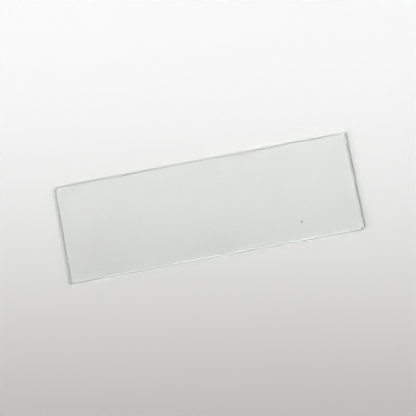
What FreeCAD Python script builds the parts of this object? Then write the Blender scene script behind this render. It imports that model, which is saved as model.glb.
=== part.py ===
# Microscope slide: one rectangle of clear float glass, three inches by one inch.
#
# The blank is cut from a sheet. Its edge is then ground square all the way round,
# and the two sharp arrises that grinding leaves, above and below, are seamed off at
# 45 degrees, the lower one wider than the upper one. Each corner is touched on the
# wheel by hand, so no two corners come out with the same rounding. The seams run on
# round the corners without a break.
#
# Millimetres, +Z up. The origin is the middle of the underside, which is the face
# that lies on the microscope's stage. +X runs along the length and +Y across the
# width, towards the back.

import FreeCAD, Part
import math
import os

# Overall size of the finished slide.
LENGTH = 76.2
WIDTH = 25.4
THICKNESS = 1.1

# Radius that the wheel left on each corner, seen from above.
BACK_LEFT_RADIUS = 1.25
BACK_RIGHT_RADIUS = 0.5
FRONT_RIGHT_RADIUS = 1.1
FRONT_LEFT_RADIUS = 0.6

# Leg of the 45 degree seam along the upper and the lower arris.
UPPER_SEAM = 0.1
LOWER_SEAM = 0.3


def corner_arc(corner, inward, radius):
    """The arc that rounds one corner, given by its ends and the point half-way along.

    corner is the sharp corner, and inward holds the two signs that lead from it to
    the middle of the slide. The arc's centre lies one radius in from both sides, and
    its middle point lies one radius out from the centre, along the diagonal.
    """
    step_x = FreeCAD.Vector(inward[0] * radius, 0, 0)
    step_y = FreeCAD.Vector(0, inward[1] * radius, 0)
    centre = corner + step_x + step_y
    diagonal = (step_x + step_y) * (1 / math.sqrt(2))
    return Part.Arc(corner + step_y, centre - diagonal, corner + step_x)


def outline():
    """The slide seen from above: four straight sides that meet the corner arcs on tangents."""
    half_length = LENGTH / 2
    half_width = WIDTH / 2
    back_left = corner_arc(FreeCAD.Vector(-half_length, half_width, 0), (1, -1), BACK_LEFT_RADIUS)
    back_right = corner_arc(FreeCAD.Vector(half_length, half_width, 0), (-1, -1), BACK_RIGHT_RADIUS)
    front_right = corner_arc(FreeCAD.Vector(half_length, -half_width, 0), (-1, 1), FRONT_RIGHT_RADIUS)
    front_left = corner_arc(FreeCAD.Vector(-half_length, -half_width, 0), (1, 1), FRONT_LEFT_RADIUS)
    sides = [
        Part.LineSegment(back_left.EndPoint, back_right.EndPoint),
        Part.LineSegment(back_right.StartPoint, front_right.StartPoint),
        Part.LineSegment(front_right.EndPoint, front_left.EndPoint),
        Part.LineSegment(front_left.StartPoint, back_left.StartPoint),
    ]
    curves = sides + [back_left, back_right, front_right, front_left]
    edges = [curve.toShape() for curve in curves]
    return Part.Wire(Part.__sortEdges__(edges))


def arris_edges(plate, height):
    """The ring of sharp edges where the ground edge meets the flat face at this height."""
    return [
        edge
        for edge in plate.Edges
        if all(abs(vertex.Point.z - height) < 1e-6 for vertex in edge.Vertexes)
    ]


def glass_slide():
    """The plate with its ground edge, seamed above and below."""
    plate = Part.Face(outline()).extrude(FreeCAD.Vector(0, 0, THICKNESS))
    plate = plate.makeChamfer(UPPER_SEAM, arris_edges(plate, THICKNESS))
    plate = plate.makeChamfer(LOWER_SEAM, arris_edges(plate, 0))
    return plate


os.makedirs("parts", exist_ok=True)
slide = glass_slide()
slide.exportStep("parts/glass_slide.step")
print("glass_slide: volume %.2f mm3, valid %s" % (slide.Volume, slide.isValid()))
print("land left between the seams: %.2f mm" % (THICKNESS - UPPER_SEAM - LOWER_SEAM))
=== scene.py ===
# %% [markdown]
# # A microscope slide on a sheet of paper
#
# The object is one rectangle of clear float glass, three inches by one inch and
# about a millimetre thick. Its two faces are as smooth as the glass maker left
# them. Its edge was ground square on a wheel, the sharp arrises were taken off, and
# each corner was touched on the wheel by hand.
#
# There is hardly any surface to look at: a slide is seen by its edge, which turns
# light away and draws a dark line round a pane that is almost nothing. So this
# lesson spends its care on three things, the true section of the edge, the way
# glass handles light, and lamps placed as a studio places them for glass.

# %% Load the frame
import math

import bmesh
import bpy
import numpy as np
from mathutils import Matrix, Vector


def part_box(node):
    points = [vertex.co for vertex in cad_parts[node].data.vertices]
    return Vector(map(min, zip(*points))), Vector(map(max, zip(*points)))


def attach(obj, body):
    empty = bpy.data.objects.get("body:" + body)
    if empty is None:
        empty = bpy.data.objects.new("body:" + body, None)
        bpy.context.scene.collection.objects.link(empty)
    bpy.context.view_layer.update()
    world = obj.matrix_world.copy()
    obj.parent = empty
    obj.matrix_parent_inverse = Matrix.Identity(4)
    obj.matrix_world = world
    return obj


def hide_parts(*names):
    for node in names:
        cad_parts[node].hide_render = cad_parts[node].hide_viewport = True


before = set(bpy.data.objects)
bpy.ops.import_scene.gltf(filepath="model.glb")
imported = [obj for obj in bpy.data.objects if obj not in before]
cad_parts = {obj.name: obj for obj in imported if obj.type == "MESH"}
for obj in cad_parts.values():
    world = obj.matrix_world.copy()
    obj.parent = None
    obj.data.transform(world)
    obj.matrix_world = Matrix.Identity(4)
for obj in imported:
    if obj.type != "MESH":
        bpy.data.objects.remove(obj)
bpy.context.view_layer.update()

MM = 0.001
slide_low, slide_high = (np.array(corner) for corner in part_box("glass_slide"))
length, width, thickness = slide_high - slide_low
middle = (slide_low + slide_high)[:2] / 2
print("slide: %.1f x %.1f x %.2f mm" % (length / MM, width / MM, thickness / MM))

# %% [markdown]
# ## Three small helpers
#
# Colours are written the way a paint chart gives them, as sRGB hex. Blender's
# sockets want linear light, so one function turns the one into the other. A second
# adds a shader node, sets its values and makes its links in one call, and a third
# makes an empty material to add them to.

# %% Colour and node helpers
def linear(hex_colour):
    """sRGB to linear light: a straight toe for dark values, a 2.4 power above it."""
    channels = np.array([int(hex_colour[i:i + 2], 16) for i in (1, 3, 5)]) / 255
    toe = channels / 12.92
    curve = ((channels + 0.055) / 1.055) ** 2.4
    return (*np.where(channels <= 0.04045, toe, curve), 1.0)


def add_node(tree, kind, settings=(), **inputs):
    """Add a node with its own settings, and set or link each input.

    An input is named with underscores for its spaces, or in_0, in_1 where several
    share a name. A socket given as the value is linked, and anything else is set.
    """
    node = tree.nodes.new(kind)
    for name, value in dict(settings).items():
        setattr(node, name, value)
    for name, value in inputs.items():
        key = int(name[3:]) if name.startswith("in_") else name.replace("_", " ")
        if isinstance(value, bpy.types.NodeSocket):
            tree.links.new(value, node.inputs[key])
        else:
            node.inputs[key].default_value = value
    return node


def new_material(name):
    """An empty material, and its tree to build in."""
    material = bpy.data.materials.new(name)
    material.use_nodes = True
    material.node_tree.nodes.clear()
    return material, material.node_tree


print("middle grey, #808080, is %.3f in linear light" % linear("#808080")[0])

# %% [markdown]
# ## The outline
#
# Seen from above the slide is a rectangle with its four corners rounded. They were
# held against the wheel one after another, so each has a radius of its own. The
# outline is worked out once, as points and the direction that faces out from each.
# The rest of the mesh is this outline, drawn in by some distance and set at some
# height, so nothing has to be fitted to anything. Each point also has a partner on a
# spine down the middle of the slide, where the two flat faces will be filled in to.

# %% Points and outward directions round the slide
CORNERS = {
    "front right": (1, -1, 1.1 * MM),
    "back right": (1, 1, 0.5 * MM),
    "back left": (-1, 1, 1.25 * MM),
    "front left": (-1, -1, 0.6 * MM),
}
ARC_POINTS = 25
SIDE_STEP = 0.1 * MM


def outline():
    """The slide's outline anticlockwise from above, the way out from each point, and its partner.

    An arc is centre + radius * (cos a, sin a), where a runs over a quarter turn,
    and (cos a, sin a) is also the way out. A side is a straight run of even steps
    from the end of one arc to the start of the next. A partner is an end of the
    spine for an end or a corner, and moves evenly from end to end for a long side.
    The two long sides have as many steps as each other, so they share partners.
    """
    half = np.array([length, width]) / 2
    reach = (length - width) / 2
    arcs = []
    for turn, (side_x, side_y, radius) in enumerate(CORNERS.values()):
        centre = middle + np.array([side_x, side_y]) * (half - radius)
        angle = np.linspace(-np.pi / 2, 0, ARC_POINTS) + turn * np.pi / 2
        out = np.stack([np.cos(angle), np.sin(angle)], axis=1)
        arcs.append((centre + radius * out, out, side_x * reach))
    points, ways, partners = [], [], []
    for turn, (arc, out, partner) in enumerate(arcs):
        next_arc, _, next_partner = arcs[(turn + 1) % 4]
        steps = round((width, length)[turn % 2] / SIDE_STEP)
        share = np.arange(1, steps) / steps
        points += [arc, arc[-1] + (next_arc[0] - arc[-1]) * share[:, None]]
        ways += [out, np.repeat(out[-1:], steps - 1, axis=0)]
        partners += [np.full(ARC_POINTS, partner), partner + (next_partner - partner) * share]
    return np.concatenate(points), np.concatenate(ways), np.concatenate(partners)


rim, rim_way, rim_partner = outline()
rim_step = np.linalg.norm(np.roll(rim, -1, axis=0) - rim, axis=1)
rim_length = rim_step.sum()
rim_run = np.cumsum(rim_step) - rim_step
print("outline: %d points, %.1f mm round" % (len(rim), rim_length / MM))

# %% [markdown]
# ## The seams
#
# A seam is the narrow bevel that takes the sharpness off an arris. The slide lies
# with its wider seam down. Seen from above, light that would come up through the
# edge meets that sloping facet from inside, is thrown along the glass instead, and
# the eye gets a dark line. A facet made by hand on a wheel is never quite even, so
# the leg of each seam swells and thins a little as it goes round.

# %% Width of each seam round the slide
UPPER_SEAM = 0.1 * MM
LOWER_SEAM = 0.3 * MM
SEAM_WANDER = 0.1  # of the nominal leg
WAVES_ROUND = np.array([3, 7, 13, 29, 61])
WAVE_SHARE = (0.2, 0.4)


def seam_leg(nominal, seed):
    """The seam's leg at each point of the outline: its nominal size times one plus five waves.

    Each wave makes a whole number of turns in one trip round the slide, so the
    seam closes on itself. A wave's size is a share of SEAM_WANDER, drawn by chance.
    """
    chance = np.random.default_rng(seed)
    phase = chance.uniform(0, 2 * np.pi, len(WAVES_ROUND))
    size = chance.uniform(*WAVE_SHARE, len(WAVES_ROUND)) * SEAM_WANDER
    waves = size * np.sin(2 * np.pi * WAVES_ROUND * rim_run[:, None] / rim_length + phase)
    return nominal * (1 + waves.sum(axis=1))


upper_leg = seam_leg(UPPER_SEAM, seed=11)
lower_leg = seam_leg(LOWER_SEAM, seed=23)
print("upper seam %.3f to %.3f mm" % (upper_leg.min() / MM, upper_leg.max() / MM))
print("lower seam %.3f to %.3f mm" % (lower_leg.min() / MM, lower_leg.max() / MM))

# %% [markdown]
# ## One closed surface
#
# In section the slide has five lines: the underside, the lower seam, the upright
# land, the upper seam and the top. Each station of the section is a ring of points
# round the outline, and quads join one ring to the next. The two flat faces run in
# to a spine down the middle of the length, with quads along the sides and a fan of
# triangles at each end, so that no face has two thousand corners.
#
# The ground facets and the polished faces are one solid of glass and share one
# material, because light that enters by the one leaves by the other. A face
# attribute called ground tells the material which is which, and a UV map gives the
# run round the edge and the distance over it, for the marks of the wheel.

# %% The mesh of the slide
MERGE = 0.001 * MM


def ring(inset, height):
    """The outline drawn in by inset and set at height: point - inset * way out."""
    flat = rim - rim_way * np.broadcast_to(inset, len(rim))[:, None]
    return np.column_stack([flat, np.broadcast_to(height, len(rim))])


def spine(height):
    """The line that a flat face runs in to: each point's partner, at mid width."""
    across = np.full(len(rim), middle[1])
    return np.column_stack([middle[0] + rim_partner, across, np.full(len(rim), height)])


def slide_mesh():
    """Rings from the middle of the underside, out and up round the edge, to the middle of the top.

    The grid's two parameters are the run round the outline and the station in the
    section. Its quads join station k, k + 1 at run i, i + 1.
    """
    base, top = slide_low[2], slide_high[2]
    stations = [
        spine(base),
        ring(lower_leg, base),
        ring(0, base + lower_leg),
        ring(0, top - upper_leg),
        ring(upper_leg, top),
        spine(top),
    ]
    grid = np.stack(stations)
    rows, columns = grid.shape[:2]
    index = np.arange(rows * columns).reshape(rows, columns)
    beside = np.roll(index, -1, axis=1)
    quads = np.stack([index[:-1], beside[:-1], beside[1:], index[1:]], axis=-1)
    mesh = bpy.data.meshes.new("slide_glass")
    mesh.from_pydata(grid.reshape(-1, 3).tolist(), [], quads.reshape(-1, 4).tolist())

    is_ground = np.repeat([0.0, 1.0, 1.0, 1.0, 0.0], columns)
    mesh.attributes.new("ground", "FLOAT", "FACE").data.foreach_set("value", is_ground)

    over = np.cumsum(np.linalg.norm(np.diff(grid, axis=0, prepend=grid[:1]), axis=2), axis=0)
    run = np.append(rim_run, rim_length)
    over = np.column_stack([over, over[:, 0]])
    corner = np.stack([np.broadcast_to(run, over.shape), over], axis=-1)
    corners = np.stack([corner[:-1, :-1], corner[:-1, 1:], corner[1:, 1:], corner[1:, :-1]], axis=2)
    mesh.uv_layers.new(name="wheel").uv.foreach_set("vector", corners.ravel() / MM)
    return mesh


mesh = slide_mesh()
body = bmesh.new()
body.from_mesh(mesh)
bmesh.ops.remove_doubles(body, verts=body.verts, dist=MERGE)
bmesh.ops.dissolve_degenerate(body, dist=MERGE, edges=body.edges)
closed = all(edge.is_manifold for edge in body.edges)
print("closed: %s, volume %.1f mm3" % (closed, body.calc_volume(signed=True) / MM**3))
body.to_mesh(mesh)
body.free()
print("triangles: %d" % sum(len(face.vertices) - 2 for face in mesh.polygons))

# %% [markdown]
# ## The slide joins the frame
#
# The mesh already has its place in it, so the object sits at the origin, unturned.
# It rides on the slide's one body and is shown in place of the plain solid.

# %% The slide as an object on its body
slide = bpy.data.objects.new("slide_glass", mesh)
bpy.context.scene.collection.objects.link(slide)
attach(slide, "root")
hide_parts("glass_slide")
print("%s: top face at %.2f mm" % (slide.name, slide_high[2] / MM))

# %% [markdown]
# ## The glass
#
# Soda-lime float glass has an index of 1.52. It gives a clear mirror on a polished
# face and bends what is behind it. A trace of iron takes out red and violet, so a
# long way through it looks green: almost nothing through the thickness, and plain
# to see from the end. That is Volume Absorption, which acts by the length of the
# path. A slide out of its box is never quite free of film, so a trace of the light
# is lost at the faces as well. One opaque grain of dust lies near the right end: there
# the glass stops passing light on, and a matt grey takes its place.
#
# The wheel leaves the ground facets covered with pits a few hundredths of a
# millimetre across, in fine lines along the edge. A rough shader stands for the
# pits. The lines are a noise stretched along the run of the edge, in millimetres on
# the map called wheel, and bump and roughness both follow it.

# %% Glass with a ground edge
GLASS_INDEX = 1.52
POLISHED = 0.0
GROUND = 0.5
GROUND_SPREAD = 0.08
WHEEL_LINE = 0.12  # mm between the wheel's lines; the real ones are near 0.05, too fine to show
LINE_STRETCH = 12
LINE_DETAIL = 3.0
LINE_SPAN = (0.3, 0.7)  # the noise seldom leaves this part of its range from 0 to 1
LINE_DEPTH = 0.004 * MM
FILMED = linear("#FEFFFE")
DUSTY = linear("#4A4946")
GRAIN = (22.93 * MM, -7.75 * MM, slide_high[2])
GRAIN_CORE = 0.12 * MM
GRAIN_EDGE = 0.24 * MM
IRON_TINT = linear("#BCE7BC")
IRON_DENSITY = 5.0


def float_glass():
    """Clear, faintly green glass: a sharp mirror on its faces, and a grey frosted edge."""
    material, tree = new_material("Soda-lime float glass, ground edge")
    point = add_node(tree, "ShaderNodeTexCoord")
    away = add_node(
        tree, "ShaderNodeVectorMath", {"operation": "DISTANCE"},
        in_0=point.outputs["Object"], in_1=GRAIN,
    )
    clear = add_node(
        tree, "ShaderNodeMapRange", {"interpolation_type": "SMOOTHSTEP"},
        Value=away.outputs["Value"], From_Min=GRAIN_CORE, From_Max=GRAIN_EDGE,
    )
    tint = add_node(
        tree, "ShaderNodeMix", {"data_type": "RGBA"},
        Factor=clear.outputs["Result"], in_6=DUSTY, in_7=FILMED,
    )
    ground = add_node(tree, "ShaderNodeAttribute", {"attribute_name": "ground"}).outputs["Fac"]
    place = add_node(tree, "ShaderNodeUVMap", {"uv_map": "wheel"})
    along = add_node(
        tree, "ShaderNodeMapping", Vector=place.outputs["UV"],
        Scale=(1 / (WHEEL_LINE * LINE_STRETCH), 1 / WHEEL_LINE, 1),
    )
    lines = add_node(
        tree, "ShaderNodeTexNoise", Vector=along.outputs["Vector"], Scale=1.0, Detail=LINE_DETAIL,
    )
    ground_roughness = add_node(
        tree, "ShaderNodeMapRange", Value=lines.outputs["Fac"],
        From_Min=LINE_SPAN[0], From_Max=LINE_SPAN[1],
        To_Min=GROUND - GROUND_SPREAD, To_Max=GROUND + GROUND_SPREAD,
    )
    roughness = add_node(
        tree, "ShaderNodeMix", Factor=ground, A=POLISHED, B=ground_roughness.outputs["Result"],
    )
    bump = add_node(
        tree, "ShaderNodeBump", Height=lines.outputs["Fac"], Strength=ground, Distance=LINE_DEPTH,
    )
    glass = add_node(
        tree, "ShaderNodeBsdfPrincipled", IOR=GLASS_INDEX, Base_Color=tint.outputs[2],
        Roughness=roughness.outputs["Result"], Transmission_Weight=clear.outputs["Result"],
        Normal=bump.outputs["Normal"],
    )
    depth = add_node(tree, "ShaderNodeVolumeAbsorption", Color=IRON_TINT, Density=IRON_DENSITY)
    add_node(
        tree, "ShaderNodeOutputMaterial", Surface=glass.outputs["BSDF"], Volume=depth.outputs["Volume"]
    )
    return material


mesh.materials.append(float_glass())
glass_mirror = ((GLASS_INDEX - 1) / (GLASS_INDEX + 1)) ** 2
print("a polished face mirrors %.1f per cent of light that meets it squarely" % (100 * glass_mirror))

# %% [markdown]
# ## The paper
#
# The slide lies on white paper. Its own weight doesn't press it flat, and a film of
# air stays between the two. That gap matters: without it the glass would be wet to
# the paper. The paper's colour is painted darker towards the front. This is painted
# shade, which stands for a soft shadow across the front of the sheet and not for a darker paper.

# %% A sheet with painted shade towards the front
SHEET_HALF = 3.0
AIR_GAP = 0.03 * MM
# Painted shade: along this turn the paper's colour darkens from back to front, standing for a soft
# shadow across the front of the sheet.
SHADE_TURN = math.radians(79.4)
SHADE_START = -110 * MM
SHADE_END = 69 * MM
SHADED_FRONT_TONE = linear("#ACABA9")
BACK_TONE = linear("#F9F9F9")


def paper():
    """Matt white paper, painted darker towards the front: painted shade that lifts in a smooth curve
    from front to back.
    """
    material, tree = new_material("Uncoated white paper")
    place = add_node(tree, "ShaderNodeTexCoord")
    along = add_node(
        tree, "ShaderNodeVectorMath", {"operation": "DOT_PRODUCT"},
        in_0=place.outputs["Object"], in_1=(math.cos(SHADE_TURN), math.sin(SHADE_TURN), 0),
    )
    # Painted shade: how far a point lies from the darker front towards the paler back.
    painted_shade = add_node(
        tree, "ShaderNodeMapRange", {"interpolation_type": "SMOOTHERSTEP"},
        Value=along.outputs["Value"], From_Min=SHADE_START, From_Max=SHADE_END,
    )
    # Paper white at the back, with painted shade darkening it towards the front.
    paper_and_painted_shade = add_node(
        tree, "ShaderNodeMix", {"data_type": "RGBA"},
        Factor=painted_shade.outputs["Result"], in_6=SHADED_FRONT_TONE, in_7=BACK_TONE,
    )
    diffuse = add_node(tree, "ShaderNodeBsdfDiffuse", Color=paper_and_painted_shade.outputs[2])
    add_node(tree, "ShaderNodeOutputMaterial", Surface=diffuse.outputs["BSDF"])
    return material


sheet_z = slide_low[2] - AIR_GAP
floor_mesh = bpy.data.meshes.new("floor")
sheet = [(x * SHEET_HALF, y * SHEET_HALF, sheet_z) for x, y in ((-1, -1), (1, -1), (1, 1), (-1, 1))]
floor_mesh.from_pydata(sheet, [], [(0, 1, 2, 3)])
floor_mesh.materials.append(paper())
floor = bpy.data.objects.new("floor", floor_mesh)
bpy.context.scene.collection.objects.link(floor)
print("sheet: %.0f m wide, %.2f mm under the slide" % (2 * SHEET_HALF, AIR_GAP / MM))

# %% [markdown]
# ## Lamps
#
# Glass on white paper is drawn by light that its edge has turned aside. Where the
# edge throws light away there is a dark line, and where it sends it down to the
# paper there is a bright one beside it, so each lamp draws its own pair of lines and
# the lamps' places decide how every side looks. Four soft boxes hang face down from
# a high studio ceiling: a strong one over the left, a long narrow one that reaches
# out to the right, one far out on the left that gives the left end its firm shadow,
# and one behind. They hang high so that the paper is lit evenly from side to side.
#
# Nothing bright hangs where the top face mirrors it into the camera, a little behind
# overhead. It would lie over the glass as a veil.

# %% Four soft boxes
BOX_HEIGHT = 3.0
CELLS = 50


def soft_box(name, place, size, radiance):
    """A rectangle of light, face down at BOX_HEIGHT, whose place and size are in heights.

    A box of area A and radiance L has the power pi * A * L. The share it gives is how
    bright white paper gets from it alone: the sum of L / pi * dA / (1 + x**2 + y**2)**2
    over the box's cells, where x, y and dA are in heights.
    """
    light = bpy.data.lights.new(name, "AREA")
    light.shape = "RECTANGLE"
    light.size = size[0] * BOX_HEIGHT
    light.size_y = size[1] * BOX_HEIGHT
    light.energy = math.pi * light.size * light.size_y * radiance
    box = bpy.data.objects.new(name, light)
    box.location = (place[0] * BOX_HEIGHT, place[1] * BOX_HEIGHT, BOX_HEIGHT)
    bpy.context.scene.collection.objects.link(box)
    spread = (np.arange(CELLS) + 0.5) / CELLS - 0.5
    x, y = np.meshgrid(place[0] + size[0] * spread, place[1] + size[1] * spread)
    share = radiance / math.pi * size[0] * size[1] * np.mean(1 / (1 + x**2 + y**2) ** 2)
    print("%s: %.1f m2, share of the light on paper %.3f" % (name, light.size * light.size_y, share))


soft_box("left_box", place=(-0.65, -0.19), size=(0.50, 0.62), radiance=11.0)
soft_box("right_box", place=(1.32, -0.35), size=(1.80, 0.30), radiance=4.8)
soft_box("low_left_box", place=(-1.70, -0.63), size=(0.60, 1.94), radiance=7.0)
soft_box("back_box", place=(0.51, 1.16), size=(0.44, 0.88), radiance=6.4)

# %% [markdown]
# ## Walls and ceiling
#
# Round about stand pale walls and above hangs a dark ceiling. The walls light the
# slide's edge from low down, and a view from the side sees them as its background.

# %% Walls and ceiling
WALL = 0.63
CEILING = 0.0
WALL_TOP = 0.25  # height over distance along the line of sight, where the walls start to fade
CEILING_EDGE = 0.5
world = bpy.data.worlds.new("studio")
bpy.context.scene.world = world
world.use_nodes = True
sky = world.node_tree
sky.nodes.clear()
direction = add_node(sky, "ShaderNodeTexCoord")
height = add_node(sky, "ShaderNodeSeparateXYZ", Vector=direction.outputs["Generated"])
level = add_node(
    sky, "ShaderNodeMapRange", {"interpolation_type": "SMOOTHSTEP"}, Value=height.outputs["Z"],
    From_Min=WALL_TOP, From_Max=CEILING_EDGE, To_Min=WALL, To_Max=CEILING,
)
white = linear("#FFFFFF")
background = add_node(sky, "ShaderNodeBackground", Color=white, Strength=level.outputs["Result"])
add_node(sky, "ShaderNodeOutputWorld", Surface=background.outputs["Background"])
print("walls end %.0f degrees up" % math.degrees(math.asin(CEILING_EDGE)))

# %% [markdown]
# ## How light is followed
#
# Light that gets into the edge of a plate is trapped and bounces between the faces
# many times before it leaves. Followed for only a few bounces it is lost, and the
# edge comes out far too dark, so the limits are raised.
#
# The paper under the glass has a second difficulty. A path that leaves it can't aim
# at a lamp through a surface that bends light, and reaches one only by chance. Cycles
# has two shortcuts that take such lucky paths for noise: it blurs sharp surfaces
# after a matt bounce, and it cuts down very bright indirect light. Either would leave
# the glass looking like a grey filter, so both are off. Path guiding is on instead.
# It learns where the lamps are as it renders, and sends more of the paths that way.
#
# Last, the denoiser is told the colour of what it sees, but not which way it faces.
# The directions change on the facets only, so with them it draws those with care and
# wipes out the fine bright lines that glass throws on to the paper beside it.

# %% Bounces, shortcuts, guiding and denoising
TRAPPED_BOUNCES = 32
cycles = bpy.context.scene.cycles
cycles.max_bounces = TRAPPED_BOUNCES
cycles.diffuse_bounces = TRAPPED_BOUNCES
cycles.glossy_bounces = TRAPPED_BOUNCES
cycles.transmission_bounces = TRAPPED_BOUNCES
cycles.blur_glossy = 0.0
cycles.sample_clamp_indirect = 0.0
cycles.use_guiding = True
cycles.denoising_input_passes = "RGB_ALBEDO"
print("bounces: %d, guiding: %s" % (cycles.max_bounces, cycles.use_guiding))

# %% [markdown]
# ## Camera
#
# The camera looks almost straight down from a little in front, and is turned so that
# the slide lies aslant in the frame. Its place is given as the point it looks at,
# the distance from there, and three angles.

# %% Camera
AIM = Vector((0.12, 0.28, 0)) * MM
DISTANCE = 246.6 * MM
AZIMUTH, ELEVATION, ROLL = (math.radians(angle) for angle in (11.32, 84.0, -21.92))
LENS = 83.26  # focal length in mm, as Blender has it
SENSOR = 36  # width in mm
camera_data = bpy.data.cameras.new("camera")
camera_data.lens = LENS
camera_data.sensor_width = SENSOR
camera_data.clip_start = 10 * MM
across = Vector((math.cos(AZIMUTH), math.sin(AZIMUTH), 0))
ahead = Vector((math.sin(AZIMUTH), -math.cos(AZIMUTH), 0))
back = ahead * math.cos(ELEVATION) + Vector((0, 0, math.sin(ELEVATION)))
upright = back.cross(across)
right = across * math.cos(ROLL) + upright * math.sin(ROLL)
up = upright * math.cos(ROLL) - across * math.sin(ROLL)
axes = Matrix((right, up, back)).transposed().to_4x4()
camera = bpy.data.objects.new("camera", camera_data)
camera.matrix_world = Matrix.Translation(AIM + back * DISTANCE) @ axes
bpy.context.scene.collection.objects.link(camera)
bpy.context.scene.camera = camera
bpy.context.scene.view_settings.view_transform = "Standard"
print("camera: %.0f mm above the stage" % (camera.matrix_world.translation.z / MM))
